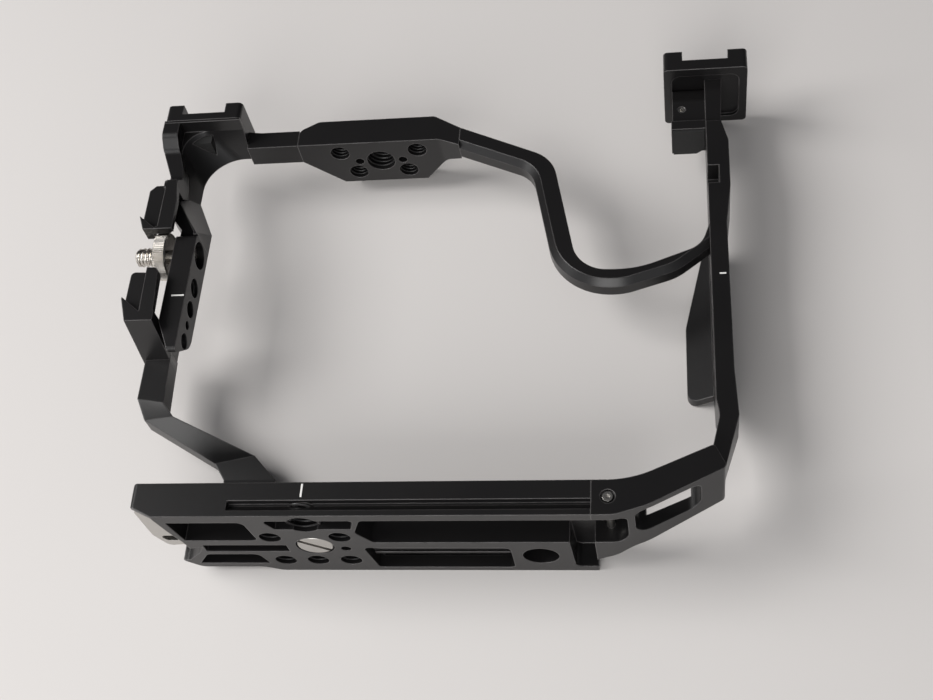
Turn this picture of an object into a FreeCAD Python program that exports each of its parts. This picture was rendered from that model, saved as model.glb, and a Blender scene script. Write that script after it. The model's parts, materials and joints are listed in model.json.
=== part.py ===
import FreeCAD, Part
import math
import os
from FreeCAD import Vector

# A cage for a large video camera, lying on its lens side.
# X runs to the grip side, Y is the cage's own up direction, Z points away from the surface it lies on.
# The model is made about the lens axis (X = 0), the camera seat (Y = 0) and that surface (Z = 0).
# The last step moves it so that the origin is under the middle of its footprint.

# Base plate
baseLeft = 49.4
baseRight = 80.0
baseThick = 10.3
baseDepth = 38.5
baseFrontStep = 2.6
dovetailStart = 20.8
dovetailNeck = 2.2
dovetailTop = 5.5
dovetailLip = 1.8
pocketDeep = 7.3
pocketShallow = 3.0
seatPadThick = 0.6
seatPadInset = 5.5
seatPadWide = 9.0
wallNear = 3.4

# Threaded holes
quarterThreadR = 3.175
threeEighthThreadR = 4.76
pinHoleR = 1.5
frontHoleR = 5.2

# Camera screw and its clip
cameraScrewZ = 17.9
cameraHeadR = 5.3
cameraHeadThick = 2.4
headSunk = 0.1
cameraHeadSlot = 1.4
cameraSlotDeep = 1.1
cameraSlotTurn = 38.0
cameraNeckR = 2.5
cameraWebThick = 2.2
cameraStudOut = 2.2
cameraScrewTravel = 2.3
cameraClipR = 5.0
clipThick = 0.6
clipGap = 0.05
clipFit = 0.05
headGap = 0.3

# Corner with the strap slot
cornerEndX = 113.0
cornerRise = 10.3
cornerThick = 7.5
slotLeft = 91.5
slotRight = 109.2
slotNear = 36.0
slotFar = 22.5
cornerFarLeft = 8.0
cornerFarMiddle = 14.5
cornerFarRight = 19.0
crossScrewX = 84.5
crossScrewY = 4.9
crossHeadR = 1.4
crossBoreR = 2.0
crossHeadThick = 0.9
crossShankR = 1.1
crossScrewEnd = 17.0
pocketFar = 20.2

# Right side bar, wing and curved bridge
bridgeNear = 27.5
barInner = 114.1
barThick = 5.3
barFar = 4.0
barTop = 132.0
barBend = 25.0
wingInner = 106.2
wingBottom = 42.4
wingShoulder = 69.0
wingTop = 93.5
wingThick = 3.0
bridgeDeep = 6.0
bridgeBevel = 2.0

# Top block and link
blockUnder = 129.8
blockThick = 10.0
blockLeft = 18.4
blockRight = 27.2
blockFar = 7.5
blockFoot = 3.8
linkThick = 6.4
linkFar = 19.0

# Cold shoes
shoeGap = 14.6
shoeSlotWidth = 18.8
shoeSlotHeight = 2.1
shoeLip = 1.7
shoeStop = 2.5
rightShoeLeft = 101.0
rightShoeWide = 27.0
rightShoeUnder = 149.6
rightShoePlate = 4.1
rightShoeNear = 32.5
rightShoeDeep = 26.0
shoeRecess = 1.2
shoeRecessInset = 2.6
leftShoeLeft = 64.3
leftShoeWide = 26.0
leftShoeTop = 136.8
leftShoePlate = 2.8
leftShoeDeep = 18.5
shoeRim = 0.9
cornerPadLeft = 58.0
cornerPadWide = 8.6
cornerPadNear = 32.0
cornerPadDeep = 8.0
cornerPadDrop = 0.6
recessDeep = 3.0

# Lug and camera rest under the right shoe
lugBottom = 132.5
stopUnder = 129.0
stopFar = 15.5
stopPadThick = 0.9

# Left side
sideInner = 47.2
sideThick = 7.0
sideNear = 33.5
sideFar = 22.0
plateTop = 90.5
sideBottom = 47.5
cornerFillet = 13.0
nearFillet = 8.0
cornerInner = 53.2
railOuter = 65.5
railInner = 54.8
railStrip = 4.6
railThick = 5.5
railGroove = 3.0
railUndercut = 3.6
railKnobGap = 0.6
carrierWide = 5.4
carrierDip = 34.5
railLowerTop = 75.0
railLowerBottom = 55.0
railUpperBottom = 89.5
railUpperTop = 109.0
frontStrapNear = 20.0
frontStrapThick = 6.5

# Clamp screw
clampY = 85.3
clampZ = 28.6
clampKnobR = 7.6
clampKnobThick = 4.2
clampReach = 7.5
clampJournalR = 2.2
clampTravel = 2.0
clampClipR = 4.2

# Steel tool
toolLong = 26.5
toolInset = 1.9
toolWide = 10.5
toolThick = 2.6
toolGap = 0.3
toolSlotR = 1.6
magnetR = 2.0
magnetThick = 1.5


def corner_reaches(corners, radii):
    """How far each corner's arc runs along its sides; neighbours share a side that is too short for both."""
    count = len(corners)
    halves = []
    for index, corner in enumerate(corners):
        halves.append((corners[index - 1] - corner).getAngle(corners[(index + 1) % count] - corner) / 2)
    wanted = [radius / math.tan(half) for radius, half in zip(radii, halves)]
    reaches = []
    for index, corner in enumerate(corners):
        reach = wanted[index]
        for other in (index - 1, (index + 1) % count):
            both = wanted[index] + wanted[other]
            room = 0.98 * (corners[other] - corner).Length
            if both > room:
                reach = min(reach, room * wanted[index] / both)
        reaches.append(reach)
    return reaches, halves


def rounded(points, radii):
    """Edges of a closed outline on the plane Z = 0, with its corners rounded by tangent arcs."""
    corners = [Vector(u, v, 0) for u, v in points]
    count = len(corners)
    if not isinstance(radii, (list, tuple)):
        radii = [radii] * count
    reaches, halves = corner_reaches(corners, radii)
    entries = []
    for index, corner in enumerate(corners):
        reach = reaches[index]
        if reach < 0.01:
            entries.append((corner, None, corner))
            continue
        back = (corners[index - 1] - corner).normalize()
        ahead = (corners[(index + 1) % count] - corner).normalize()
        half = halves[index]
        radius = reach * math.tan(half)
        middle = corner + (back + ahead).normalize() * (radius / math.sin(half) - radius)
        entries.append((corner + back * reach, middle, corner + ahead * reach))
    edges = []
    for index, (start, middle, end) in enumerate(entries):
        if middle is not None:
            edges.append(Part.Arc(start, middle, end).toShape())
        following = entries[(index + 1) % count][0]
        if end.distanceToPoint(following) > 0.001:
            edges.append(Part.LineSegment(end, following).toShape())
    return edges


def flat(points, radii=0):
    return Part.Face(Part.Wire(rounded(points, radii)))


def front_plate(points, near, far, radii=0):
    """An outline in X and Y, between two heights Z."""
    face = flat(points, radii)
    face.translate(Vector(0, 0, far))
    return face.extrude(Vector(0, 0, near - far))


def plan_plate(points, low, high, radii=0):
    """An outline in X and Z, between two heights Y."""
    face = flat([(x, -z) for x, z in points], radii)
    face.rotate(Vector(0, 0, 0), Vector(1, 0, 0), -90)
    face.translate(Vector(0, low, 0))
    return face.extrude(Vector(0, high - low, 0))


def side_plate(points, left, right, radii=0):
    """An outline in Y and Z, between two places X."""
    face = flat(points, radii)
    face.rotate(Vector(0, 0, 0), Vector(1, 1, 1), 120)
    face.translate(Vector(left, 0, 0))
    return face.extrude(Vector(right - left, 0, 0))


def block(x0, x1, y0, y1, z0, z1):
    return Part.makeBox(x1 - x0, y1 - y0, z1 - z0, Vector(x0, y0, z0))


def rod(radius, start, end):
    start = Vector(*start)
    path = Vector(*end) - start
    return Part.makeCylinder(radius, path.Length, start, path)


def straight_edges(shape, direction, place):
    """Straight edges along a direction whose middle passes a test."""
    found = []
    for edge in shape.Edges:
        if edge.Curve.TypeId != "Part::GeomLine":
            continue
        along = (edge.Vertexes[-1].Point - edge.Vertexes[0].Point).normalize()
        if abs(along.dot(direction)) > 0.999 and place(edge.CenterOfMass):
            found.append(edge)
    return found


def base_body():
    """The bottom plate's outside: front outline, plan outline and dovetail edges."""
    front = front_plate([(-baseLeft, 0), (baseRight, 0), (baseRight, -baseThick), (-baseLeft + 7, -baseThick),
                         (-baseLeft + 0.6, -baseThick + 3)], baseDepth, 0, [1.2, 0, 0, 0, 0])
    plan = plan_plate([(-baseLeft, baseDepth), (baseRight, baseDepth), (baseRight, 0), (-14, 0),
                       (-19, baseFrontStep), (-baseLeft + 11, baseFrontStep), (-baseLeft + 2, 12)],
                      -baseThick, 0, [1.5, 0, 0, 4, 4, 4, 6])
    body = front.common(plan)
    for edge, side in ((baseDepth, 1), (0, -1)):
        groove = side_plate([(-dovetailTop, edge + side), (-dovetailTop, edge - side * dovetailNeck),
                             (-baseThick + dovetailLip + dovetailNeck, edge - side * dovetailNeck),
                             (-baseThick + dovetailLip, edge), (-baseThick + dovetailLip, edge + side)],
                            -dovetailStart, baseRight + 1)
        body = body.cut(groove)
    return body


def base_pockets():
    """Weight-saving pockets of the underside, each as a tool to cut with."""
    low = -baseThick - 1
    left = plan_plate([(-39.5, 34.2), (-17, 34.2), (-15.8, 21.8), (-37.6, 21.8)], low,
                      -baseThick + pocketDeep, [0, 2.5, 1.5, 0])
    slot = plan_plate([(-33.5, 18.6), (-8.4, 18.6), (-8.4, 14), (-33.5, 14)], low,
                      -baseThick + pocketShallow)
    leftFar = plan_plate([(-34, 12), (-18.4, 12), (-16.6, 5.2), (-38.3, 5.2)], low,
                         -baseThick + pocketDeep, [2, 2.5, 0, 0])
    tapped = plan_plate([(-11.5, baseDepth - wallNear), (14.8, baseDepth - wallNear),
                         (13, 29.4), (-8.8, 29.4)], low, -baseThick + pocketShallow, [1.2, 1.2, 0, 0])
    main = plan_plate([(16.5, baseDepth - wallNear), (baseRight + 1, baseDepth - wallNear),
                       (baseRight + 1, 20.2), (17.5, 20.2), (13.5, 27)], low,
                      -baseThick + pocketDeep, [1.5, 0, 0, 1.5, 2])
    long = plan_plate([(13.8, 16.6), (56, 16.6), (56, 2.2), (15.8, 2.2)], low,
                      -baseThick + pocketDeep, [1.5, 2.5, 1.5, 1.5])
    notch = plan_plate([(73, 21), (baseRight + 1, 21), (baseRight + 1, 3), (73.6, 3)], low,
                       -baseThick + pocketDeep, [0, 0, 0, 2])
    return [left, slot, leftFar, tapped, main, long, notch]


def base_ribs():
    """Two ribs that run along the long pocket, lower than its rim."""
    ribs = []
    for z in (7.4, 10.4):
        ribs.append(block(15.5, 55, -baseThick + 2.2, -baseThick + pocketDeep + 0.5, z, z + 1.1))
    return ribs


def tool_recess():
    """Open space at the left end that holds the steel tool."""
    low = -baseThick - 1
    left = -baseLeft - 2
    right = -baseLeft + toolWide + toolGap
    high = -baseThick + toolThick + 2 * toolGap + 2.4
    recess = plan_plate([(left, baseDepth - toolInset + toolGap), (right - 4, baseDepth - toolInset + toolGap),
                         (right - 2.2, baseDepth - 10), (right, baseDepth - 18),
                         (right + 1, baseDepth - toolLong), (left, baseDepth - toolLong)],
                        low, high, [0, 0, 3, 3, 0, 0])
    notch = plan_plate([(-baseLeft, 14), (-34, 17), (-36, 13), (-41, 7.5), (-44.5, 7.2)], low,
                       -baseThick + 5.6, [0, 0, 0, 2, 0])
    return [recess, notch]


def quarter_holes():
    return [(-11.7, 24.0), (8.6, 24.0), (-11.3, 7.6), (-1.5, 7.6), (8.4, 7.6)]


def base_plate():
    body = base_body()
    for pocket in base_pockets():
        body = body.cut(pocket)
    for rib in base_ribs():
        body = body.fuse(rib)
    for space in tool_recess():
        body = body.cut(space)
    under = -baseThick - 1
    for x, z in quarter_holes():
        body = body.cut(rod(quarterThreadR, (x, under, z), (x, 1, z)))
    body = body.cut(rod(threeEighthThreadR, (0, under, 32.6), (0, 1, 32.6)))
    body = body.cut(rod(pinHoleR, (8.7, under, 16), (8.7, -3, 16)))
    body = body.cut(rod(frontHoleR, (64.2, under, 10.6), (64.2, -3, 10.6)))
    for tool in camera_screw_space():
        body = body.cut(tool)
    body = body.cut(rod(magnetR, (magnet_x(), magnet_y(), magnet_z()),
                        (magnet_x(), magnet_y() + magnetThick, magnet_z())))
    return body.removeSplitter()


def camera_web():
    """Heights of the web that the camera screw is held by: its underside and its top."""
    low = -baseThick + headSunk + cameraHeadThick + cameraScrewTravel + clipGap
    return low, low + cameraWebThick


def camera_screw_space():
    """Counterbore, clearance hole and clip recess of the camera screw."""
    low, high = camera_web()
    z = cameraScrewZ
    bore = rod(cameraHeadR + headGap, (0, -baseThick - 1, z), (0, low, z))
    hole = rod(quarterThreadR + headGap, (0, low - 1, z), (0, high + 1, z))
    recess = rod(cameraClipR + headGap, (0, high, z), (0, 1, z))
    return [bore, hole, recess]


def camera_screw():
    """Slotted screw that holds the camera, with a neck for its clip."""
    z = cameraScrewZ
    low, high = camera_web()
    under = -baseThick + headSunk
    shoulder = under + cameraHeadThick
    neckEnd = high + clipThick + 2 * clipGap
    head = rod(cameraHeadR, (0, under, z), (0, shoulder, z))
    head = head.makeChamfer(0.3, [edge for edge in head.Edges if edge.CenterOfMass.y < under + 0.1])
    neck = rod(cameraNeckR, (0, shoulder - 0.5, z), (0, neckEnd + 0.5, z))
    thread = rod(quarterThreadR, (0, neckEnd, z), (0, cameraStudOut, z))
    thread = thread.makeChamfer(0.6, [edge for edge in thread.Edges if edge.CenterOfMass.y > cameraStudOut - 0.1])
    slot = block(-cameraHeadR - 1, cameraHeadR + 1, under - 1, under + cameraSlotDeep,
                 z - cameraHeadSlot / 2, z + cameraHeadSlot / 2)
    slot.rotate(Vector(0, 0, z), Vector(0, 1, 0), cameraSlotTurn)
    return head.fuse(neck).fuse(thread).cut(slot).removeSplitter()


def neck_clip(outer, inner, thick):
    """A flat spring clip about the origin, open towards -Z."""
    ring = rod(outer, (0, 0, 0), (0, thick, 0))
    bore = rod(inner, (0, -1, 0), (0, thick + 1, 0))
    mouth = block(-inner * 0.8, inner * 0.8, -1, thick + 1, -outer - 1, 0)
    return ring.cut(bore).cut(mouth)


def camera_screw_clip():
    clip = neck_clip(cameraClipR, cameraNeckR + clipFit, clipThick)
    clip.translate(Vector(0, camera_web()[1] + clipGap, cameraScrewZ))
    return clip


def seat_pads():
    """Two thin pads that the camera rests on."""
    near = baseDepth - seatPadInset
    far = near - seatPadWide
    pads = []
    for left, right in ((20, baseRight - 10), (-baseLeft + 7.4, -18)):
        pads.append(plan_plate([(left, near), (right, near), (right, far), (left, far)], 0, seatPadThick))
    return Part.makeCompound(pads)


def corner_front():
    """The lower corner as a full plate: flat at the base plate, then bent up to the side bar."""
    slope = math.atan2(cornerRise, cornerEndX - slotLeft)
    across = Vector(math.sin(slope), -math.cos(slope), 0) * cornerThick
    top = [(baseRight, 0), (slotLeft - 1, 0), (cornerEndX, cornerRise)]
    low = [(cornerEndX + across.x, cornerRise + across.y), (slotLeft + across.x, across.y - 0.8),
           (baseRight + 6, -baseThick), (baseRight, -baseThick)]
    return front_plate(top + low, baseDepth, 0, [0, 30, 1, 1.5, 24, 10, 0])


def strap_corner():
    """The lower corner with its strap slot and the pocket that the cross screw spans."""
    far = plan_plate([(baseRight, baseDepth), (cornerEndX + 5, baseDepth), (cornerEndX + 5, cornerFarRight),
                      (slotLeft - 1, cornerFarMiddle), (baseRight, cornerFarLeft)], -30, 30, [0, 0, 0, 12, 0])
    slot = plan_plate([(slotLeft, slotNear), (slotRight, slotNear), (slotRight, slotFar), (slotLeft, slotFar)],
                      -30, 30, [3, 3, 4, 4])
    pocket = plan_plate([(baseRight - 1, baseDepth - wallNear), (slotLeft - 2, baseDepth - wallNear),
                         (slotLeft - 2, pocketFar), (baseRight - 1, pocketFar)], -30,
                        -baseThick + pocketDeep, [0, 3, 3, 0])
    body = corner_front().common(far).cut(slot).cut(pocket)
    x, y = crossScrewX, -crossScrewY
    bore = rod(crossShankR, (x, y, crossScrewEnd), (x, y, baseDepth + 1))
    seat = rod(crossBoreR, (x, y, baseDepth - crossHeadThick - 0.1), (x, y, baseDepth + 1))
    return body.cut(bore).cut(seat).removeSplitter()


def cross_screw():
    """Small steel screw that crosses the pocket of the corner."""
    x, y = crossScrewX, -crossScrewY
    under = baseDepth - crossHeadThick - 0.1
    head = rod(crossHeadR, (x, y, under), (x, y, baseDepth - 0.1))
    shank = rod(crossShankR, (x, y, crossScrewEnd), (x, y, under + 0.1))
    socket = rod(0.6, (x, y, baseDepth - 0.8), (x, y, baseDepth + 1))
    return head.fuse(shank).cut(socket).removeSplitter()


def right_bar():
    outer = barInner + barThick
    outline = [(barInner, barTop), (barInner, barBend + 5), (barInner + 0.9, barBend), (cornerEndX - 0.6, 13.5),
               (cornerEndX + 0.5, cornerRise - 2.5), (cornerEndX + 2.6, 7), (outer + 1, barBend),
               (outer + 0.2, 40), (outer, 92), (outer + 1.6, 106), (outer + 1.6, 124), (outer - 0.5, barTop)]
    body = front_plate(outline, bridgeNear, barFar, [0, 8, 8, 1, 0, 0, 3, 20, 20, 10, 6, 0])
    far = side_plate([(cornerRise - 5, bridgeNear), (barTop + 1, bridgeNear), (barTop + 1, 9), (100, 9), (90, barFar),
                      (40, barFar), (barBend, 14), (cornerRise, cornerFarRight), (cornerRise - 5, cornerFarRight)],
                     barInner - 10, outer + 10, [0, 0, 0, 10, 10, 6, 8, 0, 0])
    body = body.common(far)
    notch = block(barInner - 1, barInner + 3.6, 107, 114, 20, bridgeNear + 1)
    body = body.cut(notch).cut(corner_front())
    for y, radius in bar_holes():
        body = body.cut(rod(radius, (barInner - 3, y, 15.5), (outer + 4, y, 15.5)))
    return body.removeSplitter()


def bar_holes():
    return [(82, quarterThreadR), (71.5, quarterThreadR), (63.5, quarterThreadR - 0.3), (56, pinHoleR),
            (48, quarterThreadR - 0.3), (40.5, pinHoleR)]


def grip_wing():
    """Thin guard that flares inwards from the side bar."""
    outline = [(barInner, wingTop + 3.5), (barInner - 3, wingTop + 3.5), (barInner - 2.4, wingTop),
               (wingInner, wingShoulder), (wingInner, wingBottom), (barInner, wingBottom)]
    body = front_plate(outline, bridgeNear, -5, [0, 1, 2, 8, 3.5, 0])
    lean = barFar + wingThick
    section = plan_plate([(wingInner - 1, 0), (wingInner - 1, wingThick - 0.8), (barInner, lean),
                          (barInner, barFar), (wingInner + 1.2, 0)], wingBottom - 5, wingTop + 10)
    return body.common(section).removeSplitter()


def bridge_outline():
    """Corners of the curved bridge with their radii, along its outer side and back along its inner side."""
    outer = [(blockRight + 7, 134.3, 0), (65.3, 119.7, 13), (74.3, 75.8, 11), (92, 75.6, 30), (111.5, 83.5, 8),
             (barInner, 91.5, 0)]
    inner = [(barInner, 84, 0), (104, 75.6, 18), (88, 70.3, 20), (68.2, 70.4, 20), (58.7, 115.9, 10),
             (blockRight + 7, 127, 0)]
    return outer + inner


def faces_down(body, edge):
    """True for an edge of the near face whose side of the body looks towards the camera bay."""
    middle = edge.valueAt((edge.FirstParameter + edge.LastParameter) / 2)
    below = Vector(middle.x, middle.y - 0.05, middle.z - 0.1)
    above = Vector(middle.x, middle.y + 0.05, middle.z - 0.1)
    return body.isInside(above, 0.001, True) and not body.isInside(below, 0.001, True)


def grip_bridge():
    """The curved strap that dips from the top block to the side bar, bevelled along its inner near edge."""
    corners = bridge_outline()
    points = [(x, y) for x, y, radius in corners]
    radii = [radius for x, y, radius in corners]
    body = front_plate(points, bridgeNear, bridgeNear - bridgeDeep, radii)
    near = [edge for edge in body.Edges if edge.BoundBox.ZMin > bridgeNear - 0.01]
    return body.makeChamfer(bridgeBevel, [edge for edge in near if faces_down(body, edge)])


def top_block():
    top = blockUnder + blockThick
    outline = [(-blockLeft - 2.4, blockUnder), (-blockLeft - 2.4, blockUnder + 6.4), (-blockLeft + 4, top),
               (blockRight - 2, top), (blockRight + 7, 134.3), (blockRight + 7, 127), (blockRight, blockUnder)]
    body = front_plate(outline, bridgeNear, 0, [0, 3, 3, 3, 0, 0, 4])
    plan = plan_plate([(-blockLeft - 2.4, bridgeNear), (blockRight + 9, bridgeNear), (blockRight + 9, 21.5),
                       (blockRight + 2, 18), (20.5, blockFar), (18, 0), (-6, 0), (-8.5, blockFar),
                       (-blockLeft - 2.4, linkFar)], blockUnder - 10, top + 1, [0, 0, 0, 8, 0, 2, 2, 0, 0])
    side = side_plate([(blockUnder - 10, bridgeNear), (top + 1, bridgeNear), (top + 1, 0), (top - blockFoot, 0),
                       (blockUnder, blockFar), (blockUnder - 10, blockFar)], -40, 50)
    body = body.common(plan).common(side)
    low = blockUnder - 1
    for x, z in top_quarter_holes():
        body = body.cut(rod(quarterThreadR, (x, low, z), (x, top + 1, z)))
    body = body.cut(rod(threeEighthThreadR, (6, low, 17.9), (6, top + 1, 17.9)))
    for x in (-1.3, 13.5):
        body = body.cut(rod(pinHoleR, (x, low, 17.9), (x, top + 1, 17.9)))
    return body.removeSplitter()


def top_quarter_holes():
    return [(-7.2, 22.6), (19.2, 22.6), (-2.7, 12.6), (14.7, 12.6)]


def top_link():
    left = -leftShoeLeft + leftShoeWide
    right = -blockLeft - 2.4
    outline = [(left, blockUnder), (left, blockUnder + 7.0), (left + 4, blockUnder + linkThick),
               (right, blockUnder + linkThick), (right, blockUnder)]
    return front_plate(outline, bridgeNear, linkFar, [0, 0, 6, 0, 0])


def upright():
    """Post left of the camera bay. Its inner side leans back as it rises and turns into the shoe's underside."""
    inner = -sideInner
    left = -leftShoeLeft + carrierWide
    right = -leftShoeLeft + leftShoeWide
    top = leftShoeTop - leftShoePlate
    outer = inner - sideThick
    lower = [(inner, plateTop), (outer, plateTop), (outer, plateTop + 4), (left, plateTop + 10)]
    far = [(left, top), (right, top), (right, blockUnder), (-cornerInner, blockUnder), (-cornerInner, 111),
           (inner, 98)] + lower
    near = [(left, top), (right, top), (right, top - shoeRim), (left + 0.6, top - shoeRim), (left + 1, 107),
            (inner - 0.6, plateTop + 0.7)] + lower
    farWire = Part.Wire(rounded(far, [0, 0, 0, cornerFillet, 0, 0, 0, 0, 0, 0]))
    nearWire = Part.Wire(rounded(near, [0, 0, 0, nearFillet, 0, 0, 0, 0, 0, 0]))
    farWire.translate(Vector(0, 0, sideFar))
    nearWire.translate(Vector(0, 0, sideNear))
    return Part.makeLoft([farWire, nearWire], True, True)


def shoe_corner():
    """Top left corner: the rim under the shoe, the upright and a pocket for the pad."""
    left = -leftShoeLeft
    right = left + leftShoeWide
    top = leftShoeTop - leftShoePlate
    rim = block(left, right, top - shoeRim, top, sideFar, baseDepth)
    recess = front_plate([(left + carrierWide + 2.6, 105), (-sideInner - 1.4, plateTop + 1),
                          (-sideInner - 1.4, plateTop - 1), (left, plateTop - 1), (left, 105)],
                         sideNear + 1, sideNear - recessDeep)
    pocket = plan_plate(pad_outline(0), blockUnder - cornerPadDrop, top - shoeRim)
    return upright().fuse(rim).cut(recess).cut(pocket).removeSplitter()


def pad_outline(inset):
    """Outline of the pad under the left shoe, in X and Z."""
    left = -cornerPadLeft + inset
    right = -cornerPadLeft + cornerPadWide - inset
    near = cornerPadNear - inset
    far = cornerPadNear - cornerPadDeep + inset
    return [(left, near), (right, near), (right, far), (left, far)]


def corner_pad():
    top = leftShoeTop - leftShoePlate - shoeRim
    return plan_plate(pad_outline(0.1), blockUnder - cornerPadDrop, top)


def cold_shoe(left, wide, top, plate, near, deep):
    """A plate with two lips over a T slot, closed by a stop at its near end."""
    height = top + shoeSlotHeight + shoeLip
    body = block(left, left + wide, top - plate, height, near - deep, near)
    middle = left + wide / 2
    slot = block(middle - shoeSlotWidth / 2, middle + shoeSlotWidth / 2, top, top + shoeSlotHeight,
                 near - deep - 1, near - shoeStop)
    mouth = block(middle - shoeGap / 2, middle + shoeGap / 2, top, height + 1, near - deep - 1, near + 1)
    body = body.cut(slot).cut(mouth)
    corners = straight_edges(body, Vector(0, 1, 0), lambda p: abs(p.x - middle) > wide / 2 - 0.01)
    return body.makeFillet(1.5, corners)


def left_shoe():
    return cold_shoe(-leftShoeLeft, leftShoeWide, leftShoeTop, leftShoePlate, baseDepth, leftShoeDeep)


def right_shoe():
    top = rightShoeUnder + rightShoePlate
    body = cold_shoe(rightShoeLeft, rightShoeWide, top, rightShoePlate, rightShoeNear, rightShoeDeep)
    left = rightShoeLeft + shoeRecessInset
    right = rightShoeLeft + rightShoeWide - shoeRecessInset
    recess = plan_plate([(left, rightShoeNear - 3.2), (right, rightShoeNear - 3.2), (right, 9), (left, 9)],
                        rightShoeUnder - 1, rightShoeUnder + shoeRecess, 3)
    return body.cut(recess)


def shoe_stem():
    """Post that carries the right shoe on the side bar."""
    under = rightShoeUnder + shoeRecess
    outline = [(barInner, barTop), (barInner, under), (barInner + 5.6, under), (barInner + barThick - 0.5, barTop)]
    return front_plate(outline, bridgeNear - 1.5, 9)


def shoe_lug():
    """Rounded boss beside the stem, with a bore for the set screw."""
    under = rightShoeUnder + shoeRecess
    left = rightShoeLeft + 2.6
    outline = [(left, lugBottom), (left, under), (barInner, under), (barInner, lugBottom)]
    dome = side_plate([(130, 12), (under, 12), (under, bridgeNear - 6), (142, bridgeNear - 1.6),
                       (130, bridgeNear - 1.6)], left - 1, barInner + 1, [0, 0, 2, 6, 0])
    body = front_plate(outline, bridgeNear, 12).common(dome)
    bore = rod(1.25, (left + 3, 138.5, 18), (left + 3, 138.5, bridgeNear + 1))
    return body.cut(bore)


def shoe_set_screw():
    x = rightShoeLeft + 5.6
    top = bridgeNear - 1.9
    screw = rod(1.25, (x, 138.5, 18), (x, 138.5, top))
    socket = rod(0.65, (x, 138.5, top - 1.2), (x, 138.5, top + 1))
    return screw.cut(socket)


def stop_outline(inset):
    left = rightShoeLeft + 2.2 + inset
    return [(left, bridgeNear - inset), (barInner - inset, bridgeNear - inset), (barInner - inset, stopFar + 2.5),
            (barInner - 2.5 - inset, stopFar + inset), (left, stopFar + inset)]


def stop_block():
    """Rest that keeps the top of the camera in place, under the lug."""
    return plan_plate(stop_outline(0), stopUnder, lugBottom)


def stop_pad():
    return plan_plate(stop_outline(0.5), stopUnder - stopPadThick, stopUnder)


def side_plate_left():
    """Plate beside the camera's sockets, with its accessory holes."""
    inner = -sideInner
    outer = inner - sideThick
    body = side_plate([(plateTop, sideNear), (sideBottom, sideNear), (sideBottom, sideNear - 2),
                       (sideBottom + 7, sideFar), (plateTop, sideFar)], outer, inner, [1.5, 1.5, 4, 6, 0])
    for y, radius in side_holes():
        body = body.cut(rod(radius, (outer - 1, y, 27.6), (inner + 1, y, 27.6)))
    for space in clamp_spaces():
        body = body.cut(space)
    return body.removeSplitter()


def side_holes():
    return [(73.5, quarterThreadR), (65.5, quarterThreadR - 0.4), (59.6, pinHoleR), (53.8, quarterThreadR - 0.6)]


def rail_plate(points, radii):
    """A dovetail rail: a plate with a raised strip along its inner edge, undercut behind."""
    low = min(y for x, y in points)
    high = max(y for x, y in points)
    body = front_plate(points, baseDepth, baseDepth - railThick, radii)
    under = baseDepth - railThick
    tip = -railInner - railUndercut
    behind = plan_plate([(-railInner + 2, under - 1), (-railInner + 2, under + railUndercut),
                         (-railInner + 0.4, under + railUndercut), (tip, under - 0.4), (tip, under - 1)],
                        low - 1, high + 1)
    return body, behind


def rail_lower():
    """Lower accessory rail on its foot."""
    points = [(-railOuter, railLowerTop), (-railInner - 0.8, railLowerTop - 0.6), (-railInner + 0.6, railLowerBottom),
              (-railOuter + 2.4, railLowerBottom), (-railOuter, railLowerBottom + 8)]
    body, behind = rail_plate(points, [1.5, 1.5, 0, 0, 0])
    strip = -railInner - railStrip
    groove = front_plate([(-railOuter - 1, railLowerTop + 1), (strip, railLowerTop + 1),
                          (strip + 0.4, railLowerBottom + 3.4), (-railOuter - 1, railLowerBottom + 9.6)],
                         baseDepth + 1, baseDepth - railGroove)
    back = sideFar - 8
    foot = side_plate([(railLowerBottom + 3.4, baseDepth), (railLowerBottom, baseDepth), (railLowerBottom - 4, back),
                       (railLowerBottom + 3.4, back)], -railOuter + 2.4, -railInner + 0.6)
    web = block(-railInner, -sideInner - sideThick, railLowerBottom - 1, railLowerBottom + 3.4, back, sideNear - 1)
    return body.cut(behind).fuse(foot).fuse(web).cut(groove).removeSplitter()


def rail_upper():
    """Upper accessory rail and the strip that carries it down from the shoe."""
    left = -leftShoeLeft
    strip = -railInner - railStrip + 0.4
    points = [(-railOuter, railUpperTop - 2), (-railOuter + 2, railUpperTop), (-railInner - 0.8, railUpperTop),
              (-railInner + 0.6, railUpperTop - 8.5), (-railInner + 0.8, railUpperBottom),
              (-railOuter + 1.8, railUpperBottom), (-railOuter, railUpperBottom + 5)]
    body, behind = rail_plate(points, 0)
    groove = front_plate([(-railOuter - 1, railUpperTop + 1), (strip, railUpperTop + 1), (strip, railUpperBottom + 1),
                          (strip - 1, railUpperBottom + 0.6), (-railOuter - 1, railUpperBottom + 6)], baseDepth + 1,
                         baseDepth - railGroove)
    top = leftShoeTop - leftShoePlate
    foot = railUpperTop - 3
    carrier = front_plate([(left, top), (left, 124.5), (-59.8, 113), (-59.6, foot), (-railInner - 0.4, foot),
                           (-railInner - 0.8, 112.5), (-56.2, 117), (left + carrierWide, 125),
                           (left + carrierWide, top)], baseDepth, sideFar, [0, 4, 3, 0, 0, 3, 4, 4, 0])
    dip = side_plate([(railUpperTop - 4, baseDepth), (railUpperTop, baseDepth), (railUpperTop + 3, carrierDip),
                      (top - 10, carrierDip), (top - 6, baseDepth), (top, baseDepth), (top, sideFar),
                      (railUpperTop + 4, sideFar), (railUpperTop - 4, baseDepth - railThick)], -80, -40,
                     [0, 3, 3, 3, 3, 0, 0, 12, 0])
    body = body.cut(behind).cut(groove).fuse(carrier.common(dip))
    seat, face, clipSeat = clamp_places()
    knobSpace = clamp_rod(clampKnobR + railKnobGap, face - clampKnobThick - railKnobGap, seat)
    return body.cut(shoe_corner()).cut(knobSpace).removeSplitter()


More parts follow.
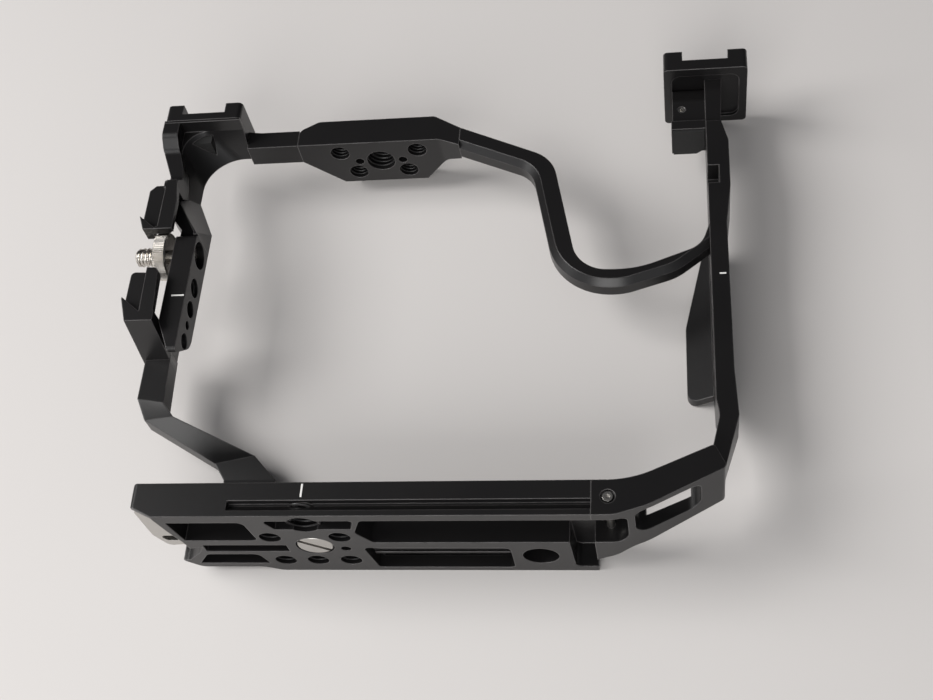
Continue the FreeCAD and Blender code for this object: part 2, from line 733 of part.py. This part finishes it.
def front_strap():
    """Strap from the rail foot round the lens side down to the base plate."""
    near = frontStrapNear
    far = near - frontStrapThick
    stations = [((-62.2, 54.5), (-54.2, 54.5), near, far), ((-62.2, 38), (-53.4, 36.5), near, far),
                ((-59, 31), (-50, 32.2), near - 1, far - 1), ((-38, 21), (-25.6, 23.6), near - 11.5, far - 10.5),
                ((-34.5, 15.6), (-18.2, 15.6), near - 12, far - 11),
                ((-32, 0), (-14.5, 0), near - 12, far - 11)]
    wires = []
    for outer, inner, high, low in stations:
        corners = [Vector(*outer, high), Vector(*inner, high), Vector(*inner, low), Vector(*outer, low)]
        wires.append(Part.makePolygon(corners + corners[:1]))
    return Part.makeLoft(wires, True, True).cut(rail_lower())


def clamp_places():
    """X of the plate's outer face, of the knob's inner face at rest, and of the clip's seat."""
    seat = -sideInner - sideThick
    face = seat - headGap / 3 - clampTravel
    clipSeat = -sideInner - clipThick - clampTravel - headGap
    return seat, face, clipSeat


def clamp_rod(radius, left, right):
    return rod(radius, (left, clampY, clampZ), (right, clampY, clampZ))


def clamp_spaces():
    """Journal bore and clip recess in the socket plate."""
    seat, face, clipSeat = clamp_places()
    return [clamp_rod(clampJournalR + clipFit, seat - 1, -sideInner + 1),
            clamp_rod(clampClipR + headGap, clipSeat, -sideInner + 1)]


def clamp_screw():
    """Thumbscrew that turns in the socket plate, with its stud pointing outwards."""
    seat, face, clipSeat = clamp_places()
    start = face - clampKnobThick
    knob = clamp_rod(clampKnobR, start, face)
    rims = [edge for edge in knob.Edges if edge.Curve.TypeId == "Part::GeomCircle"]
    knob = knob.makeChamfer(0.5, rims)
    stud = clamp_rod(quarterThreadR, start - clampReach, start + 0.5)
    stud = stud.makeChamfer(0.6, [edge for edge in stud.Edges if edge.CenterOfMass.x < start - clampReach + 0.1])
    journal = clamp_rod(clampJournalR, face - 0.5, clipSeat + clipGap + clipThick + 0.3)
    return knob.fuse(stud).fuse(journal).removeSplitter()


def clamp_clip():
    clip = neck_clip(clampClipR, clampJournalR + clipFit, clipThick)
    clip.rotate(Vector(0, 0, 0), Vector(0, 0, 1), -90)
    clip.translate(Vector(clamp_places()[2] + clipGap, clampY, clampZ))
    return clip


def magnet_x():
    return -baseLeft + toolWide / 2 + 0.6


def magnet_y():
    return -baseThick + toolThick + 2 * toolGap + 2.4


def magnet_z():
    return baseDepth - toolLong / 2 - 1.2


def steel_tool():
    """Flat screwdriver that lies in the end of the base plate."""
    left = -baseLeft + 0.8
    right = -baseLeft + toolWide - 0.2
    high = magnet_y() - toolGap
    near = baseDepth - toolInset
    far = baseDepth - toolLong + 2 * toolGap
    body = plan_plate([(left, near), (right - 4.2, near), (right - 2.4, near - 8.6), (right - 0.2, near - 16.6),
                       (right, far + 0.8), (left + 2.6, far), (left, far + 7.4)], high - toolThick, high,
                      [1.5, 1.5, 2, 3, 2, 2, 4])
    slot = plan_plate([(left + toolSlotR, far + 6.8), (right - toolSlotR, far + 6.8), (right - 3, far + 3.4),
                       (left + 3.4, far + 3.4)], high - toolThick - 1, high + 1, 1.2)
    return body.cut(slot)


def tool_magnet():
    y = magnet_y()
    return rod(magnetR, (magnet_x(), y, magnet_z()), (magnet_x(), y + magnetThick, magnet_z()))


def parts():
    return {
        "base_plate": base_plate(),
        "camera_screw": camera_screw(),
        "camera_screw_clip": camera_screw_clip(),
        "seat_pads": seat_pads(),
        "strap_corner": strap_corner(),
        "cross_screw": cross_screw(),
        "side_bar": right_bar(),
        "grip_wing": grip_wing(),
        "grip_bridge": grip_bridge(),
        "top_block": top_block(),
        "top_link": top_link(),
        "shoe_corner": shoe_corner(),
        "left_shoe": left_shoe(),
        "right_shoe": right_shoe(),
        "shoe_stem": shoe_stem(),
        "shoe_lug": shoe_lug(),
        "shoe_set_screw": shoe_set_screw(),
        "stop_block": stop_block(),
        "stop_pad": stop_pad(),
        "socket_plate": side_plate_left(),
        "rail_lower": rail_lower(),
        "rail_upper": rail_upper(),
        "front_strap": front_strap(),
        "corner_pad": corner_pad(),
        "clamp_screw": clamp_screw(),
        "clamp_clip": clamp_clip(),
        "steel_tool": steel_tool(),
        "tool_magnet": tool_magnet(),
    }


def main():
    os.makedirs("parts", exist_ok=True)
    made = parts()
    box = Part.makeCompound(list(made.values())).BoundBox
    shift = Vector(-box.Center.x, -box.Center.y, -box.ZMin)
    print("origin moved by", [round(value, 3) for value in shift], "box", box)
    for name, shape in made.items():
        shape.translate(shift)
        shape.exportStep("parts/" + name + ".step")
        print(name, len(shape.Solids), "valid" if shape.isValid() else "NOT VALID", round(shape.Volume, 1))


main()
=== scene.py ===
import json
import math
import bmesh
import bpy
from mathutils import Matrix, Vector


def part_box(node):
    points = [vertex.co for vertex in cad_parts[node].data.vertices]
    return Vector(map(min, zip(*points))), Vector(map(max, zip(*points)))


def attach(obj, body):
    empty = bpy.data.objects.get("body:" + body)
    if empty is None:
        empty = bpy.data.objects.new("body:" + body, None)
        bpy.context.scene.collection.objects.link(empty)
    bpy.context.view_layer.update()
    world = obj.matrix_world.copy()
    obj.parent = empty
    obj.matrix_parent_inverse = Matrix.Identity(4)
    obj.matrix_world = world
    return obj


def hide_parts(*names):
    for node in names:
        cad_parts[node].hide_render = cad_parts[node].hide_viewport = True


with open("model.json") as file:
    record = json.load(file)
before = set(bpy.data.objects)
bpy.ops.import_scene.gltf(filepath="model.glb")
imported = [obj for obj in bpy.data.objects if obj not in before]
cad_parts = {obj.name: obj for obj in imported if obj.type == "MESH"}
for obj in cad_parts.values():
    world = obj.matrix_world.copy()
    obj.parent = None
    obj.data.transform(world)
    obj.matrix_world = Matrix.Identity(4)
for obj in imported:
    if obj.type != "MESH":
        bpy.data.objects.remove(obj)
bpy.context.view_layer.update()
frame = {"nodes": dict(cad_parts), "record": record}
nodes = frame["nodes"]
print("frame loaded:", len(nodes), "nodes")

mm = 0.001  # the sizes of the cage's own pieces are set in millimetres
lensToBaseEnd = 49.4 * mm  # the lens axis lies this far from the base plate's end
baseLow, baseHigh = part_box("base_plate")
lensFoot = Vector((baseLow.x + lensToBaseEnd, baseHigh.y, 0))  # camera seat, under the lens axis


def fromLens(x, y, z):
    return lensFoot + Vector((x, y, z)) * mm


# Nodes that the materials and the trees share
def addNode(tree, kind, settings=None, inputs=None):
    # an input goes by its name, or by its number where sockets share a name
    node = tree.nodes.new(kind)
    for name, value in (settings or {}).items():
        setattr(node, name, value)
    for name, value in (inputs or {}).items():
        if isinstance(value, bpy.types.NodeSocket):
            tree.links.new(value, node.inputs[name])
        else:
            node.inputs[name].default_value = value
    return node


def mixColours(tree, share, first, second):
    # a mix node's two colours are its inputs 6 and 7, and the result is its output 2
    mix = addNode(tree, "ShaderNodeMix", {"data_type": "RGBA"}, {"Factor": share, 6: first, 7: second})
    return mix.outputs[2]


def startMaterial(name):
    material = bpy.data.materials.new(name)
    material.use_nodes = True
    tree = material.node_tree
    return material, tree, tree.nodes["Principled BSDF"]


def objectNoise(tree, scale, detail=3.0, stretch=(1, 1, 1)):
    place = addNode(tree, "ShaderNodeTexCoord").outputs["Object"]
    mapping = addNode(tree, "ShaderNodeMapping", inputs={"Vector": place, "Scale": stretch})
    noise = addNode(tree, "ShaderNodeTexNoise", inputs={
        "Vector": mapping.outputs["Vector"], "Scale": scale, "Detail": detail})
    return noise.outputs["Fac"]


def roundedNormal(tree, radius, samples=6):
    corner = addNode(tree, "ShaderNodeBevel", {"samples": samples}, {"Radius": radius * mm})
    return corner.outputs["Normal"]


def edgeMask(tree, rounded, start, full):
    # compares the rounded normal with the flat one; the mask picks out corners for a lighter colour, partly
    # edge wear and partly a painted highlight
    flat = addNode(tree, "ShaderNodeNewGeometry").outputs["Normal"]
    likeness = addNode(tree, "ShaderNodeVectorMath", {"operation": "DOT_PRODUCT"}, {0: rounded, 1: flat})
    mask = addNode(tree, "ShaderNodeMapRange", inputs={
        "Value": likeness.outputs["Value"], "From Min": start, "From Max": full})
    return mask.outputs["Result"]


def varyRoughness(tree, shader, noise, limits):
    spread = addNode(tree, "ShaderNodeMapRange", inputs={
        "Value": noise, "To Min": limits[0], "To Max": limits[1]})
    tree.links.new(spread.outputs["Result"], shader.inputs["Roughness"])


def addGrain(tree, shader, noise, strength, depth, rounded=None):
    bump = addNode(tree, "ShaderNodeBump", inputs={
        "Height": noise, "Strength": strength, "Distance": depth * mm})
    if rounded is not None:
        tree.links.new(rounded, bump.inputs["Normal"])
    tree.links.new(bump.outputs["Normal"], shader.inputs["Normal"])


# Materials; a noise scale counts patches to the metre
# the edge colour lightens the corners: partly bare metal worn through, partly a painted highlight
anodised = {
    "colour": (0.0065, 0.006, 0.0065, 1), "light": (0.011, 0.0105, 0.0105, 1), "patchScale": 45.0,
    "edge": (0.20, 0.19, 0.19, 1), "edgeRadius": 0.45, "edgeStart": 0.985, "edgeFull": 0.90,
    "wearAndHighlightScale": 160.0, "wearAndHighlightDetail": 4.0, "roughness": (0.26, 0.36), "specular": 0.42,
    "grainScale": 2200.0, "grainDetail": 2.0, "grainStrength": 0.25, "grainDepth": 0.012}


def anodisedMaterial():
    values = anodised
    material, tree, shader = startMaterial("satinBlackAnodised")
    rounded = roundedNormal(tree, values["edgeRadius"])
    patches = objectNoise(tree, values["patchScale"])
    grain = objectNoise(tree, values["grainScale"], values["grainDetail"])
    wearAndHighlightBreakup = objectNoise(tree, values["wearAndHighlightScale"], values["wearAndHighlightDetail"])
    edges = edgeMask(tree, rounded, values["edgeStart"], values["edgeFull"])
    # lighter colour at the edges, broken up by noise: partly edge wear, partly a painted highlight
    wornAndHighlitEdges = addNode(tree, "ShaderNodeMath", {"operation": "MULTIPLY"}, {0: edges, 1: wearAndHighlightBreakup})
    face = mixColours(tree, patches, values["colour"], values["light"])
    colourWithEdgeWearAndHighlight = mixColours(tree, wornAndHighlitEdges.outputs["Value"], face, values["edge"])
    tree.links.new(colourWithEdgeWearAndHighlight, shader.inputs["Base Color"])
    shader.inputs["Specular IOR Level"].default_value = values["specular"]
    varyRoughness(tree, shader, grain, values["roughness"])
    addGrain(tree, shader, grain, values["grainStrength"], values["grainDepth"], rounded)
    return material


brush = {"detail": 2.0, "strength": 0.08, "depth": 0.004, "edgeRadius": 0.12}
plating = {"colour": (0.62, 0.59, 0.545, 1), "roughness": (0.12, 0.32), "brushScale": 700.0}
polished = {"colour": (0.52, 0.505, 0.48, 1), "roughness": (0.22, 0.42), "brushScale": 2600.0}
evenGrain = (1, 1, 1)
grainAlongTool = (0.05, 1, 1)


def metalMaterial(name, values, stretch):
    material, tree, shader = startMaterial(name)
    rounded = roundedNormal(tree, brush["edgeRadius"])
    lines = objectNoise(tree, values["brushScale"], brush["detail"], stretch)
    shader.inputs["Base Color"].default_value = values["colour"]
    shader.inputs["Metallic"].default_value = 1.0
    varyRoughness(tree, shader, lines, values["roughness"])
    addGrain(tree, shader, lines, brush["strength"], brush["depth"], rounded)
    return material


rubber = {"colour": (0.012, 0.012, 0.012, 1), "roughness": (0.58, 0.78), "grainScale": 1500.0,
          "grainStrength": 0.4, "grainDepth": 0.03}


def rubberMaterial():
    material, tree, shader = startMaterial("dullRubber")
    grain = objectNoise(tree, rubber["grainScale"])
    shader.inputs["Base Color"].default_value = rubber["colour"]
    varyRoughness(tree, shader, grain, rubber["roughness"])
    addGrain(tree, shader, grain, rubber["grainStrength"], rubber["grainDepth"])
    return material


paint = {"colour": (0.80, 0.79, 0.77, 1), "roughness": (0.4, 0.6), "speckleScale": 900.0}


def paintMaterial():
    material, tree, shader = startMaterial("whiteMarkPaint")
    shader.inputs["Base Color"].default_value = paint["colour"]
    varyRoughness(tree, shader, objectNoise(tree, paint["speckleScale"]), paint["roughness"])
    return material


blackMetal = anodisedMaterial()
screwSteel = metalMaterial("turnedSteel", polished, evenGrain)
toolSteel = metalMaterial("brushedToolSteel", polished, grainAlongTool)
knobPlating = metalMaterial("brightPlating", plating, evenGrain)
padRubber = rubberMaterial()
markPaint = paintMaterial()
print("materials made")

steelNodes = ("camera_screw", "camera_screw_clip", "cross_screw", "shoe_set_screw", "clamp_clip",
              "tool_magnet")
padNodes = ("seat_pads", "stop_pad", "corner_pad")


def dress(names, material):
    for name in names:
        slots = nodes[name].data.materials
        slots.clear()
        slots.append(material)


dress(nodes, blackMetal)
dress(steelNodes, screwSteel)
dress(padNodes, padRubber)
dress(("steel_tool",), toolSteel)


# Trees that make what repeats
def startTree(name, sockets):
    tree = bpy.data.node_groups.new(name, "GeometryNodeTree")
    tree.interface.new_socket("Geometry", in_out="INPUT", socket_type="NodeSocketGeometry")
    for label, kind in sockets:
        tree.interface.new_socket(label, in_out="INPUT", socket_type="NodeSocket" + kind)
    tree.interface.new_socket("Geometry", in_out="OUTPUT", socket_type="NodeSocketGeometry")
    return tree, addNode(tree, "NodeGroupInput").outputs, addNode(tree, "NodeGroupOutput")


def endTree(tree, instances, material, output):
    whole = addNode(tree, "GeometryNodeRealizeInstances", inputs={"Geometry": instances})
    finished = addNode(tree, "GeometryNodeSetMaterial", inputs={
        "Geometry": whole.outputs["Geometry"], "Material": material})
    tree.links.new(finished.outputs["Geometry"], output.inputs["Geometry"])


def threadTree(stepsPerTurn=28):
    # a helix of triangular section at every point of the input mesh
    tree, given, output = startTree("screwThread", (
        ("Radius", "Float"), ("Pitch", "Float"), ("Length", "Float"), ("Ridge", "Float"),
        ("Turn", "Rotation"), ("Finish", "Material")))
    turns = addNode(tree, "ShaderNodeMath", {"operation": "DIVIDE"}, {0: given["Length"], 1: given["Pitch"]})
    helix = addNode(tree, "GeometryNodeCurveSpiral", inputs={
        "Resolution": stepsPerTurn, "Rotations": turns.outputs["Value"], "Start Radius": given["Radius"],
        "End Radius": given["Radius"], "Height": given["Length"]})
    section = addNode(tree, "GeometryNodeCurvePrimitiveCircle", inputs={
        "Resolution": 3, "Radius": given["Ridge"]})
    ridge = addNode(tree, "GeometryNodeCurveToMesh", inputs={
        "Curve": helix.outputs["Curve"], "Profile Curve": section.outputs["Curve"], "Fill Caps": True})
    halfDown = addNode(tree, "ShaderNodeMath", {"operation": "MULTIPLY"}, {0: given["Length"], 1: -0.5})
    down = addNode(tree, "ShaderNodeCombineXYZ", inputs={"Z": halfDown.outputs["Value"]})
    centred = addNode(tree, "GeometryNodeTransform", inputs={
        "Geometry": ridge.outputs["Mesh"], "Translation": down.outputs["Vector"]})
    placed = addNode(tree, "GeometryNodeInstanceOnPoints", inputs={
        "Points": given["Geometry"], "Instance": centred.outputs["Geometry"], "Rotation": given["Turn"]})
    endTree(tree, placed.outputs["Instances"], given["Finish"], output)
    return tree


def knurlTree():
    # straight four-sided ribs round a rim, about the Z axis
    tree, given, output = startTree("straightKnurl", (
        ("Ribs", "Int"), ("Rim Radius", "Float"), ("Rib Size", "Float"), ("Rib Length", "Float"),
        ("Finish", "Material")))
    rim = addNode(tree, "GeometryNodeMeshCircle", inputs={
        "Vertices": given["Ribs"], "Radius": given["Rim Radius"]})
    rib = addNode(tree, "GeometryNodeMeshCylinder", inputs={
        "Vertices": 4, "Radius": given["Rib Size"], "Depth": given["Rib Length"]})
    outward = addNode(tree, "GeometryNodeInputPosition")
    facing = addNode(tree, "FunctionNodeAlignRotationToVector", {"axis": "X", "pivot_axis": "Z"},
                     {"Vector": outward.outputs["Position"]})
    placed = addNode(tree, "GeometryNodeInstanceOnPoints", inputs={
        "Points": rim.outputs["Mesh"], "Instance": rib.outputs["Mesh"],
        "Rotation": facing.outputs["Rotation"]})
    endTree(tree, placed.outputs["Instances"], given["Finish"], output)
    return tree


def plainMesh(carrier):
    # the mesh that an object's modifiers give
    bpy.context.view_layer.update()
    evaluated = carrier.evaluated_get(bpy.context.evaluated_depsgraph_get())
    return bpy.data.meshes.new_from_object(evaluated)


def grow(name, tree, values, points=((0, 0, 0),)):
    # runs a tree on a few points and returns the result as a plain mesh
    seed = bpy.data.meshes.new(name + "Points")
    seed.from_pydata([Vector(point) for point in points], [], [])
    carrier = bpy.data.objects.new(name, seed)
    bpy.context.scene.collection.objects.link(carrier)
    modifier = carrier.modifiers.new(name, "NODES")
    modifier.node_group = tree
    for item in tree.interface.items_tree:
        if item.in_out == "INPUT" and item.name in values:
            modifier[item.identifier] = values[item.name]
    mesh = plainMesh(carrier)
    carrier.modifiers.clear()
    bpy.data.objects.remove(carrier)
    mesh.name = name
    return mesh


def addPiece(name, mesh, body):
    piece = bpy.data.objects.new(name, mesh)
    bpy.context.scene.collection.objects.link(piece)
    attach(piece, body)
    return piece


def joinMeshes(name, meshes, material):
    whole = bmesh.new()
    for mesh in meshes:
        whole.from_mesh(mesh)
    joined = bpy.data.meshes.new(name)
    whole.to_mesh(joined)
    whole.free()
    joined.materials.append(material)
    return joined


# Threads in the holes; the pitch goes by the hole's radius
holeThread = {"pitch": {3.175: 1.27, 4.76: 1.5875}, "ridgeShare": 0.42, "endRoom": 1.4}
turnFromUpright = {"X": (0, math.pi / 2, 0), "Y": (-math.pi / 2, 0, 0)}


def holeThreads(tree):
    groups = {}
    for mount in frame["record"]["mounts"]:
        if mount["kind"] == "threaded_hole":
            axis = "Y" if abs(mount["axis"][1]) > 0.5 else "X"
            size = (mount["dims"]["r_mm"], mount["dims"]["length_mm"], axis)
            groups.setdefault(size, []).append(mount["pos_m"])
    meshes = []
    for (radius, length, axis), places in groups.items():
        pitch = holeThread["pitch"][radius]
        meshes.append(grow("holeThread", tree, {
            "Radius": radius * mm, "Pitch": pitch * mm, "Length": (length - holeThread["endRoom"]) * mm,
            "Ridge": holeThread["ridgeShare"] * pitch * mm, "Turn": turnFromUpright[axis],
            "Finish": blackMetal}, places))
    return joinMeshes("holeThreads", meshes, blackMetal)


threads = threadTree()
addPiece("hole_threads", holeThreads(threads), "frame")
print("hole threads made")

# Thumbscrew; its shoulder starts and ends shoulderFoot and shoulderTop short of the knob
thumb = {"core": 2.62, "chamfer": 0.55, "ridge": 0.52, "pitch": 1.27, "threadStart": 0.75, "threadRoom": 2.1,
         "shoulderFoot": 1.0, "shoulderTop": 0.8, "shoulderRise": 0.25, "knobStart": 7.5, "knobWidth": 4.2,
         "rimDrop": 0.28, "journal": 2.2, "ribs": 76, "ribSize": 0.3, "ribSink": 0.03, "steps": 96}


def revolve(name, profile, steps):
    # a closed surface from (height, radius) pairs, about the Z axis
    vertices = []
    faces = []
    for height, radius in profile:
        for step in range(steps):
            turn = 2 * math.pi * step / steps
            vertices.append((radius * math.cos(turn), radius * math.sin(turn), height))
    for ring in range(len(profile) - 1):
        low = ring * steps
        high = low + steps
        for step in range(steps):
            ahead = (step + 1) % steps
            faces.append((low + step, low + ahead, high + ahead, high + step))
    faces.append(tuple(reversed(range(steps))))
    faces.append(tuple(range((len(profile) - 1) * steps, len(profile) * steps)))
    mesh = bpy.data.meshes.new(name)
    mesh.from_pydata(vertices, [], faces)
    return mesh


def thumbscrew(thread, knurl):
    # made upright, with its stud's end at the origin, and then laid along X
    low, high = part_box("clamp_screw")
    core = thumb["core"] * mm
    chamfer = thumb["chamfer"] * mm
    journal = thumb["journal"] * mm
    rim = (high.z - low.z) / 2 - thumb["rimDrop"] * mm
    knobStart = thumb["knobStart"] * mm
    knobEnd = knobStart + thumb["knobWidth"] * mm
    shoulder = core + thumb["shoulderRise"] * mm
    profile = [(0.0, core - chamfer), (chamfer, core), (knobStart - thumb["shoulderFoot"] * mm, core),
               (knobStart - thumb["shoulderTop"] * mm, shoulder), (knobStart, shoulder),
               (knobStart, rim - chamfer), (knobStart + chamfer, rim), (knobEnd - chamfer, rim),
               (knobEnd, rim - chamfer), (knobEnd, journal), (high.x - low.x, journal)]
    body = revolve("thumbscrewBody", profile, thumb["steps"])
    ribs = grow("thumbscrewRibs", knurl, {
        "Ribs": thumb["ribs"], "Rim Radius": rim - thumb["ribSink"] * mm, "Rib Size": thumb["ribSize"] * mm,
        "Rib Length": knobEnd - knobStart - chamfer, "Finish": knobPlating})
    ribs.transform(Matrix.Translation((0, 0, (knobStart + knobEnd) / 2)))
    threadLength = knobStart - thumb["threadRoom"] * mm
    ridge = grow("thumbscrewThread", thread, {
        "Radius": core, "Pitch": thumb["pitch"] * mm, "Length": threadLength, "Ridge": thumb["ridge"] * mm,
        "Turn": (0, 0, 0), "Finish": knobPlating})
    ridge.transform(Matrix.Translation((0, 0, threadLength / 2 + thumb["threadStart"] * mm)))
    mesh = joinMeshes("thumbscrew", [body, ribs, ridge], knobPlating)
    centre = Vector((low.x, (low.y + high.y) / 2, (low.z + high.z) / 2))
    mesh.transform(Matrix.Translation(centre) @ Matrix.Rotation(math.pi / 2, 4, "Y"))
    piece = addPiece("knurled_thumbscrew", mesh, "clamp_screw")
    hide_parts("clamp_screw")


thumbscrew(threads, knurlTree())
print("thumbscrew made")


# Copies of solids with a cut that the photograph shows
def prism(name, section, path):
    # a section of corner offsets, swept straight between two places
    vertices = [place + corner for place in path for corner in section]
    count = len(section)
    faces = [tuple(reversed(range(count))), tuple(range(count, 2 * count))]
    for index in range(count):
        ahead = (index + 1) % count
        faces.append((index, ahead, count + ahead, count + index))
    mesh = bpy.data.meshes.new(name)
    mesh.from_pydata(vertices, [], faces)
    shape = bmesh.new()
    shape.from_mesh(mesh)
    bmesh.ops.recalc_face_normals(shape, faces=shape.faces)
    shape.to_mesh(mesh)
    shape.free()
    return mesh


def cutCopy(name, node, cutter, mergeGap=0.001):
    # the node's mesh, merged, less the cutter
    shape = bmesh.new()
    shape.from_mesh(nodes[node].data)
    bmesh.ops.remove_doubles(shape, verts=shape.verts, dist=mergeGap * mm)
    whole = bpy.data.meshes.new(name)
    shape.to_mesh(whole)
    shape.free()
    carrier = bpy.data.objects.new(name + "Carrier", whole)
    knife = bpy.data.objects.new(name + "Knife", cutter)
    for made in (carrier, knife):
        bpy.context.scene.collection.objects.link(made)
    modifier = carrier.modifiers.new("cut", "BOOLEAN")
    modifier.operation = "DIFFERENCE"
    modifier.solver = "EXACT"
    modifier.object = knife
    mesh = plainMesh(carrier)
    for made in (carrier, knife):
        bpy.data.objects.remove(made)
    mesh.materials.clear()
    mesh.materials.append(blackMetal)
    for polygon in mesh.polygons:
        polygon.material_index = 0
    mesh.shade_flat()
    piece = addPiece(name, mesh, "frame")
    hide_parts(node)


# the corner's inner face climbs by rise from foot to top, and the knife runs along it past the slot's ends
strapStep = {"left": 91.7, "right": 109.0, "foot": 90.5, "top": 113.0, "rise": 10.3, "slotEdge": 22.5,
             "strip": 13.0, "deep": 4.9, "reach": 2.0, "over": 0.2}


def steppedCorner():
    # the strip beyond the strap slot is thinner, so that the table shows through the slot
    values = strapStep
    slope = values["rise"] / (values["top"] - values["foot"])
    path = []
    for x in (values["left"], values["right"]):
        path.append(fromLens(x, (x - values["foot"]) * slope, values["slotEdge"]))
    corners = ((values["reach"], values["over"]), (values["reach"], -values["strip"]),
               (-values["deep"], -values["strip"]), (-values["deep"], values["over"]))
    section = [Vector((0, y, z)) * mm for y, z in corners]
    cutCopy("strap_corner_stepped", "strap_corner", prism("strapKnife", section, path))


plateBevel = {"outer": -54.2, "low": 47.5, "across": 4.2, "up": 10.0, "over": 1.0,
              "tableSide": 15.0, "viewerSide": 40.0}


def bevelledPlate():
    # the plate's lower outer corner is cut at a slant
    values = plateBevel
    path = []
    for z in (values["tableSide"], values["viewerSide"]):
        path.append(fromLens(values["outer"], values["low"], z))
    corners = ((-values["over"], -values["over"]), (values["across"], -values["over"]),
               (values["across"], 0), (0, values["up"]), (-values["over"], values["up"]))
    section = [Vector((x, y, 0)) * mm for x, y in corners]
    cutCopy("socket_plate_bevelled", "socket_plate", prism("plateKnife", section, path))


steppedCorner()
bevelledPlate()
print("cut copies made")

# Index marks, let into the metal
inlay = {"thick": 0.16, "raise": 0.01, "bevel": 0.03, "segments": 2}
marks = {"lens": {"place": (0.1, -2.5, 38.5), "size": (0.6, 4.1)},
         "socket": {"place": (-49.8, 67.1, 33.5), "size": (4.2, 0.6)},
         "grip": {"place": (117.4, 72.9, 27.5), "size": (2.0, 0.6)}}


def indexMark(name):
    x, y, z = marks[name]["place"]
    wide, tall = marks[name]["size"]
    mesh = bpy.data.meshes.new(name + "Mark")
    shape = bmesh.new()
    bmesh.ops.create_cube(shape, size=1.0)
    bmesh.ops.scale(shape, vec=Vector((wide, tall, inlay["thick"])) * mm, verts=shape.verts)
    bmesh.ops.bevel(shape, geom=shape.edges, offset=inlay["bevel"] * mm, segments=inlay["segments"],
                    affect="EDGES")
    middle = z + inlay["raise"] - inlay["thick"] / 2
    bmesh.ops.translate(shape, vec=fromLens(x, y, middle), verts=shape.verts)
    shape.to_mesh(mesh)
    shape.free()
    mesh.materials.append(markPaint)
    piece = bpy.data.objects.new(name + "_mark", mesh)
    bpy.context.scene.collection.objects.link(piece)
    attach(piece, "frame")


for markName in marks:
    indexMark(markName)
print("index marks made")

# Table, room, lamps and camera; the table and the lamps are set in metres
table = {"colour": (0.66, 0.635, 0.62, 1), "patch": (0.70, 0.68, 0.665, 1), "patchScale": 2.5,
         "roughness": 0.65, "half": 4.0}


def tableTop():
    material, tree, shader = startMaterial("paleTable")
    patches = objectNoise(tree, table["patchScale"])
    tree.links.new(mixColours(tree, patches, table["colour"], table["patch"]), shader.inputs["Base Color"])
    shader.inputs["Roughness"].default_value = table["roughness"]
    mesh = bpy.data.meshes.new("tableTop")
    half = table["half"]
    corners = [(-half, -half, 0), (half, -half, 0), (half, half, 0), (-half, half, 0)]
    mesh.from_pydata(corners, [], [(0, 1, 2, 3)])
    mesh.materials.append(material)
    top = bpy.data.objects.new("table_top", mesh)
    bpy.context.scene.collection.objects.link(top)


room = {"wall": (0.92, 0.93, 0.96, 1), "dark": (0.10, 0.10, 0.105, 1), "towards": (-0.35, -0.9, 0.1),
        "from": -0.2, "to": 0.8, "strength": 0.6}


def softRoom():
    # brighter towards the window wall on the viewer's side, dim overhead and beyond
    world = bpy.data.worlds.new("softRoom")
    bpy.context.scene.world = world
    world.use_nodes = True
    tree = world.node_tree
    direction = addNode(tree, "ShaderNodeTexCoord").outputs["Generated"]
    facing = addNode(tree, "ShaderNodeVectorMath", {"operation": "DOT_PRODUCT"}, {
        0: direction, 1: room["towards"]})
    share = addNode(tree, "ShaderNodeMapRange", {"interpolation_type": "SMOOTHSTEP"}, {
        "Value": facing.outputs["Value"], "From Min": room["from"], "From Max": room["to"]})
    background = tree.nodes["Background"].inputs
    tree.links.new(mixColours(tree, share.outputs["Result"], room["dark"], room["wall"]), background["Color"])
    background["Strength"].default_value = room["strength"]


lamps = {"window": {"place": (-0.15, -1.15, 0.75), "size": 0.8, "power": 9.0, "colour": (1.0, 0.985, 0.965)},
         "ceiling": {"place": (-1.15, 0.0, 1.1), "size": 0.9, "power": 21.0, "colour": (1.0, 0.985, 0.97)}}


def softLamp(name):
    values = lamps[name]
    data = bpy.data.lights.new(name, "AREA")
    data.shape = "SQUARE"
    data.size = values["size"]
    data.energy = values["power"]
    data.color = values["colour"]
    lamp = bpy.data.objects.new(name, data)
    lamp.location = values["place"]
    lamp.rotation_euler = (-Vector(values["place"])).to_track_quat("-Z", "Y").to_euler()
    bpy.context.scene.collection.objects.link(lamp)


# place is in millimetres from the lens foot, near and far in metres
view = {"place": (105.4, -159.7, 369.7), "right": (0.98724, 0.06101, -0.14712),
        "up": (0.02397, 0.85631, 0.51590), "back": (0.15745, -0.51284, 0.84392),
        "lens": 52.63, "sensor": 36.0, "near": 0.01, "far": 20.0}


def photoCamera():
    data = bpy.data.cameras.new("photoCamera")
    data.lens = view["lens"]
    data.sensor_width = view["sensor"]
    data.clip_start = view["near"]
    data.clip_end = view["far"]
    camera = bpy.data.objects.new("photo_camera", data)
    turn = Matrix((view["right"], view["up"], view["back"])).transposed().to_4x4()
    camera.matrix_world = Matrix.Translation(fromLens(*view["place"])) @ turn
    bpy.context.scene.collection.objects.link(camera)
    bpy.context.scene.camera = camera


tableTop()
softRoom()
for lampName in lamps:
    softLamp(lampName)
photoCamera()
bpy.context.scene.view_settings.view_transform = "Standard"
print("stage set")
